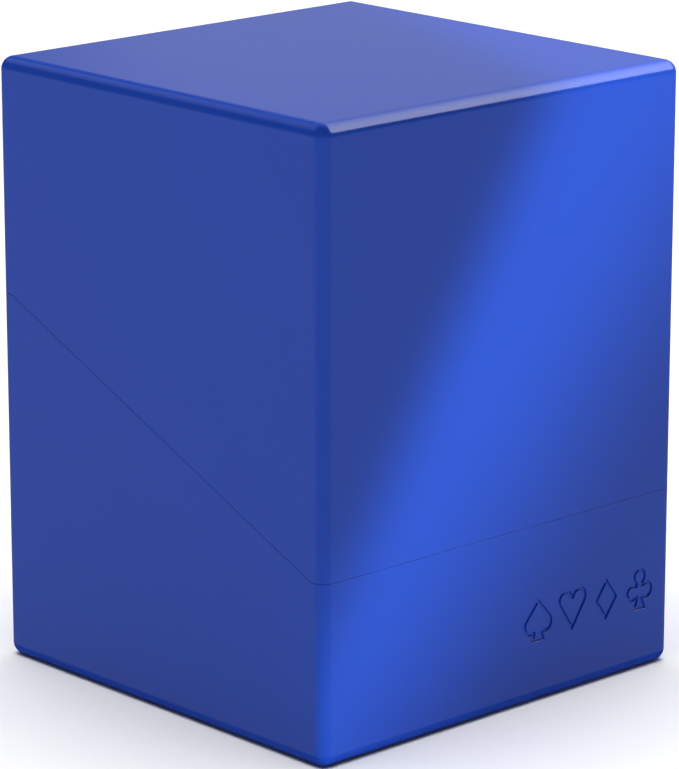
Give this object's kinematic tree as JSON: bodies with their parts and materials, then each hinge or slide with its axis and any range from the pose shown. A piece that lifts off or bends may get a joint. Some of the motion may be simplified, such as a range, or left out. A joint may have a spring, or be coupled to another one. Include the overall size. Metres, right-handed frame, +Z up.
{
  "type": "card deck box",
  "caption": "Upright blue card deck box with a lift-off lid, a diagonal seam that runs low at the front, and an inner card tray the lid slides over.",
  "frame": {"origin": "middle of the underside, on the surface the box stands on", "axes": "+Z up along the height, -Y out of the front face with the emblem, +X to the right as seen from the front"},
  "size_m": [0.0772, 0.0764, 0.1],
  "materials": {
    "shell_plastic": "smooth satin-gloss cobalt blue",
    "tray_plastic": "fine matt cobalt blue"
  },
  "bodies": {
    "base": {"base_shell": "shell_plastic", "card_tray": "tray_plastic"},
    "lid": {"lid_shell": "shell_plastic"}
  },
  "joints": [
    {"name": "lid_lift", "type": "slide", "parent": "base", "child": "lid", "axis": [0, 0, 1], "range_m": [0, 0.08]}
  ]
}
